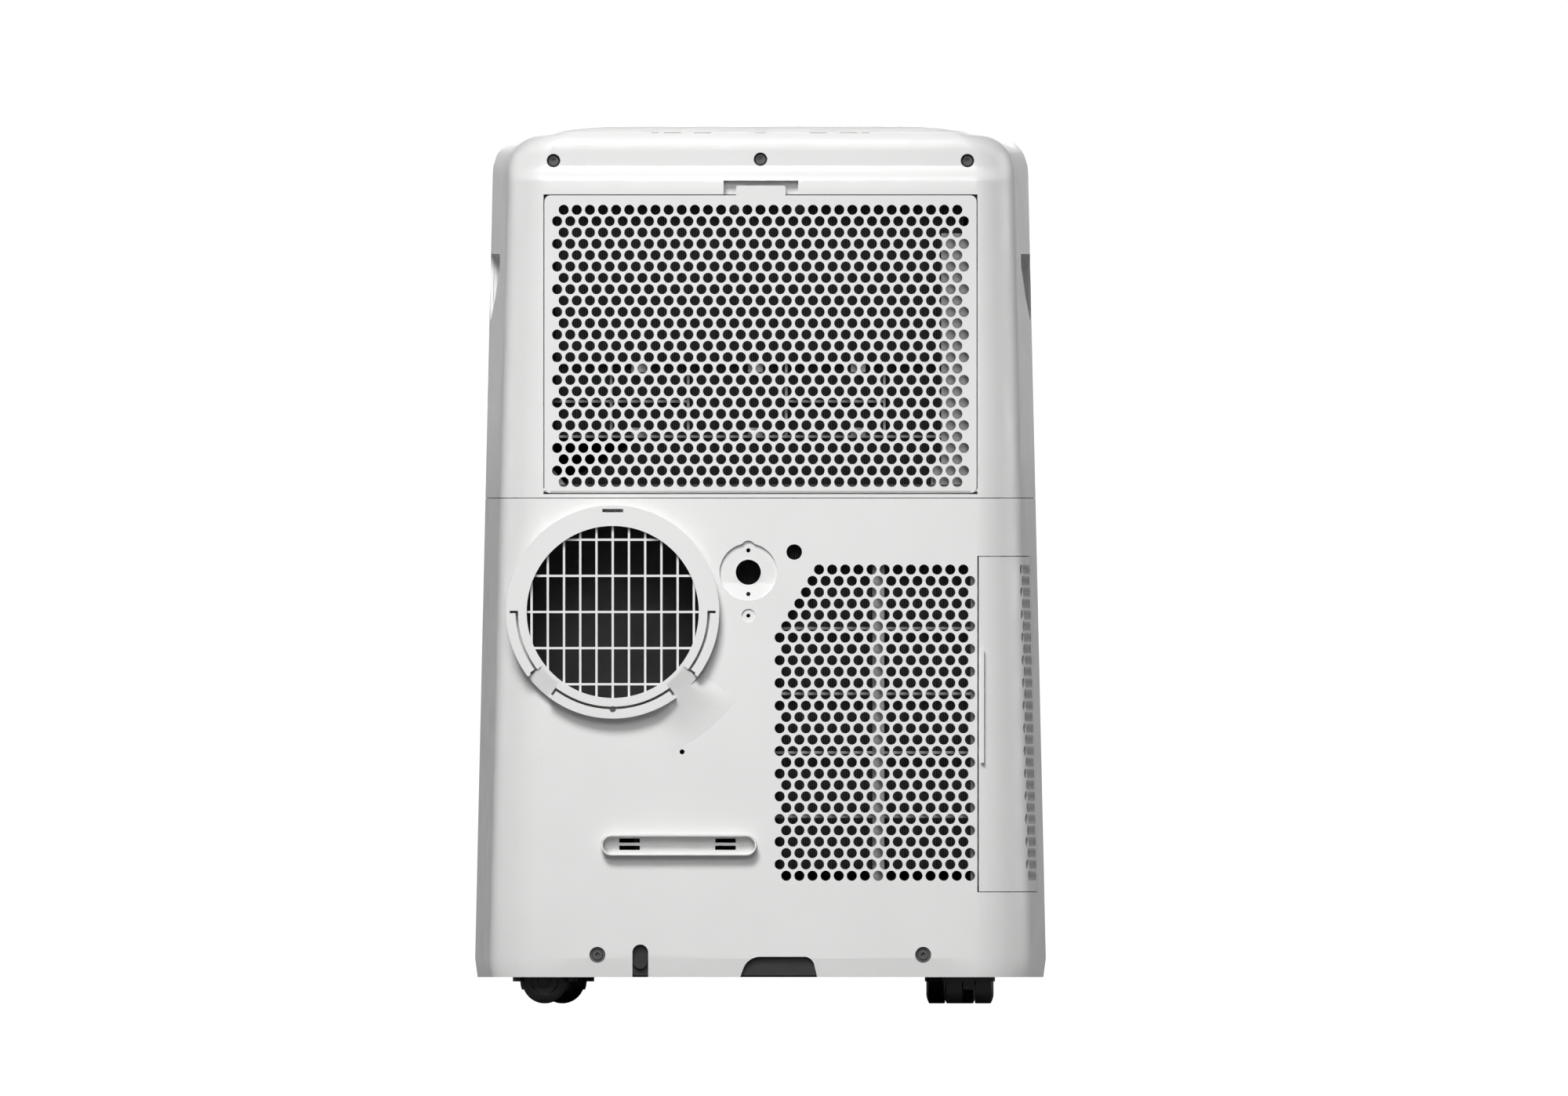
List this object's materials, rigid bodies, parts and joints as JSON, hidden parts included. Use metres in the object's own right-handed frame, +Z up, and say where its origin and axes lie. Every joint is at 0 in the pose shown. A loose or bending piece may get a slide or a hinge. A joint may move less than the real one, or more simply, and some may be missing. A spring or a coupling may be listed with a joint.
{
  "type": "portable air conditioner",
  "caption": "Upright room air conditioner on twin-wheel casters, with rear filters, round exhaust port and front louver.",
  "frame": {"origin": "on the floor under the middle of the whole body, collar included", "axes": "+Z up; -Y out of the service side with the filters and the exhaust port; +Y out of the air outlet; +X to the right when facing the service side"},
  "size_m": [0.455, 0.362, 0.7],
  "materials": {
    "white_plastic": "fine moulded texture",
    "grey_plastic": "matte",
    "dark_plastic": "matte",
    "rubber": "matte",
    "caster_plastic": "satin",
    "black_enamel": "gloss",
    "fin_coating": "black hydrophilic coating",
    "copper": "drawn tube",
    "motor_steel": "zinc plated",
    "screw_steel": "zinc plated",
    "galvanised_sheet": "galvanised",
    "board": "solder mask",
    "lens": "tinted window"
  },
  "bodies": {
    "cabinet": {"base_pan": "dark_plastic", "front_shell": "white_plastic", "rear_upper_cover": "white_plastic", "rear_lower_cover": "white_plastic", "top_cover": "white_plastic", "control_panel": "dark_plastic", "display_lens": "lens", "control_board": "board", "exhaust_collar": "white_plastic", "exhaust_grid": "white_plastic", "cord_hook_socket": "white_plastic", "drain_port": "white_plastic", "cover_screws": "screw_steel", "side_grips": "white_plastic", "upper_filter_guide": "grey_plastic", "lower_filter_guide": "grey_plastic", "mid_deck": "grey_plastic", "compressor": "black_enamel", "compressor_feet": "rubber", "condenser_coil": "fin_coating", "evaporator_coil": "fin_coating", "refrigerant_pipes": "copper", "condenser_scroll": "dark_plastic", "condenser_motor": "motor_steel", "evaporator_scroll": "grey_plastic", "evaporator_motor": "motor_steel", "splash_motor": "motor_steel", "electrics_box": "galvanised_sheet", "run_capacitor": "motor_steel", "outlet_duct": "grey_plastic", "louver_motor": "motor_steel"},
    "upper_filter": {"upper_filter_frame": "white_plastic", "upper_filter_net": "dark_plastic"},
    "filter_door": {"lower_filter_door": "white_plastic", "lower_filter_net": "dark_plastic"},
    "drain_plug": {"bottom_drain_plug": "rubber"},
    "flap": {"louver_flap": "white_plastic"},
    "link": {"vane_link": "grey_plastic"},
    "condenser_blower": {"condenser_fan": "dark_plastic"},
    "evaporator_blower": {"evaporator_fan": "dark_plastic"},
    "slinger": {"splash_wheel": "dark_plastic"},
    "vane_1_blade": {"vane_1": "white_plastic"},
    "vane_2_blade": {"vane_2": "white_plastic"},
    "vane_3_blade": {"vane_3": "white_plastic"},
    "vane_4_blade": {"vane_4": "white_plastic"},
    "vane_5_blade": {"vane_5": "white_plastic"},
    "power_key": {"power_button": "white_plastic"},
    "mode_key": {"mode_button": "white_plastic"},
    "fan_key": {"fan_button": "white_plastic"},
    "timer_key": {"timer_button": "white_plastic"},
    "temperature_key": {"temperature_rocker": "white_plastic"},
    "rear_left_fork": {"caster_fork_rear_left": "caster_plastic"},
    "rear_left_wheels": {"caster_wheels_rear_left": "caster_plastic"},
    "rear_right_fork": {"caster_fork_rear_right": "caster_plastic"},
    "rear_right_wheels": {"caster_wheels_rear_right": "caster_plastic"},
    "front_left_fork": {"caster_fork_front_left": "caster_plastic"},
    "front_left_wheels": {"caster_wheels_front_left": "caster_plastic"},
    "front_right_fork": {"caster_fork_front_right": "caster_plastic"},
    "front_right_wheels": {"caster_wheels_front_right": "caster_plastic"}
  },
  "joints": [
    {"name": "upper_filter_tilt", "type": "hinge", "parent": "cabinet", "child": "upper_filter", "pos_m": [0, -0.1665, 0.40925], "axis": [1, 0, 0], "range_deg": [0, 40]},
    {"name": "filter_door_swing", "type": "hinge", "parent": "cabinet", "child": "filter_door", "pos_m": [0.21934, -0.025, 0.0887], "axis": [-0.0225, 0, 0.9997], "range_deg": [0, 80]},
    {"name": "drain_plug_pull", "type": "slide", "parent": "cabinet", "child": "drain_plug", "axis": [0, -1, 0], "range_m": [0, 0.02]},
    {"name": "flap_tilt", "type": "hinge", "parent": "cabinet", "child": "flap", "pos_m": [0, 0.151, 0.583], "axis": [-1, 0, 0], "range_deg": [0, 60]},
    {"name": "vane_1_turn", "type": "hinge", "parent": "cabinet", "child": "vane_1_blade", "pos_m": [-0.092, 0.118, 0.61], "axis": [0, 0, 1], "range_deg": [-30, 30]},
    {"name": "vane_2_turn", "type": "hinge", "parent": "cabinet", "child": "vane_2_blade", "pos_m": [-0.046, 0.118, 0.61], "axis": [0, 0, 1], "range_deg": [-30, 30]},
    {"name": "vane_3_turn", "type": "hinge", "parent": "cabinet", "child": "vane_3_blade", "pos_m": [0, 0.118, 0.61], "axis": [0, 0, 1], "range_deg": [-30, 30]},
    {"name": "vane_4_turn", "type": "hinge", "parent": "cabinet", "child": "vane_4_blade", "pos_m": [0.046, 0.118, 0.61], "axis": [0, 0, 1], "range_deg": [-30, 30]},
    {"name": "vane_5_turn", "type": "hinge", "parent": "cabinet", "child": "vane_5_blade", "pos_m": [0.092, 0.118, 0.61], "axis": [0, 0, 1], "range_deg": [-30, 30]},
    {"name": "link_slide", "type": "slide", "parent": "cabinet", "child": "link", "axis": [1, 0, 0], "range_m": [-0.0095, 0.0095]},
    {"name": "condenser_fan_spin", "type": "hinge", "parent": "cabinet", "child": "condenser_blower", "pos_m": [0.095, -0.07, 0.215], "axis": [0, 1, 0], "continuous": true},
    {"name": "evaporator_fan_spin", "type": "hinge", "parent": "cabinet", "child": "evaporator_blower", "pos_m": [0, -0.06, 0.512], "axis": [0, 1, 0], "continuous": true},
    {"name": "splash_wheel_spin", "type": "hinge", "parent": "cabinet", "child": "slinger", "pos_m": [0.095, -0.095, 0.077], "axis": [0, 1, 0], "continuous": true},
    {"name": "power_press", "type": "slide", "parent": "cabinet", "child": "power_key", "axis": [0, 0, -1], "range_m": [0, 0.001], "stiffness_N_per_m": 400, "springref_m": -0.001},
    {"name": "mode_press", "type": "slide", "parent": "cabinet", "child": "mode_key", "axis": [0, 0, -1], "range_m": [0, 0.001], "stiffness_N_per_m": 400, "springref_m": -0.001},
    {"name": "fan_press", "type": "slide", "parent": "cabinet", "child": "fan_key", "axis": [0, 0, -1], "range_m": [0, 0.001], "stiffness_N_per_m": 400, "springref_m": -0.001},
    {"name": "timer_press", "type": "slide", "parent": "cabinet", "child": "timer_key", "axis": [0, 0, -1], "range_m": [0, 0.001], "stiffness_N_per_m": 400, "springref_m": -0.001},
    {"name": "temperature_rock", "type": "hinge", "parent": "cabinet", "child": "temperature_key", "pos_m": [0, 0, 0.6932], "axis": [0, 1, 0], "range_deg": [-3, 3], "stiffness_Nm_per_rad": 0.3},
    {"name": "rear_left_swivel", "type": "hinge", "parent": "cabinet", "child": "rear_left_fork", "pos_m": [-0.166, -0.122, 0.05], "axis": [0, 0, 1], "continuous": true},
    {"name": "rear_left_roll", "type": "hinge", "parent": "rear_left_fork", "child": "rear_left_wheels", "pos_m": [-0.172, -0.122, 0.018], "axis": [0, 1, 0], "continuous": true},
    {"name": "rear_right_swivel", "type": "hinge", "parent": "cabinet", "child": "rear_right_fork", "pos_m": [0.166, -0.122, 0.05], "axis": [0, 0, 1], "continuous": true},
    {"name": "rear_right_roll", "type": "hinge", "parent": "rear_right_fork", "child": "rear_right_wheels", "pos_m": [0.166, -0.128, 0.018], "axis": [1, 0, 0], "continuous": true},
    {"name": "front_left_swivel", "type": "hinge", "parent": "cabinet", "child": "front_left_fork", "pos_m": [-0.152, 0.1, 0.05], "axis": [0, 0, 1], "continuous": true},
    {"name": "front_left_roll", "type": "hinge", "parent": "front_left_fork", "child": "front_left_wheels", "pos_m": [-0.158, 0.1, 0.018], "axis": [0, 1, 0], "continuous": true},
    {"name": "front_right_swivel", "type": "hinge", "parent": "cabinet", "child": "front_right_fork", "pos_m": [0.152, 0.1, 0.05], "axis": [0, 0, 1], "continuous": true},
    {"name": "front_right_roll", "type": "hinge", "parent": "front_right_fork", "child": "front_right_wheels", "pos_m": [0.152, 0.094, 0.018], "axis": [1, 0, 0], "continuous": true}
  ],
  "couplings": [
    {"joint": "vane_2_turn", "follows": "vane_1_turn", "ratio": 1},
    {"joint": "vane_3_turn", "follows": "vane_1_turn", "ratio": 1},
    {"joint": "vane_4_turn", "follows": "vane_1_turn", "ratio": 1},
    {"joint": "vane_5_turn", "follows": "vane_1_turn", "ratio": 1},
    {"joint": "link_slide", "follows": "vane_1_turn", "m_per_rad": 0.018}
  ]
}
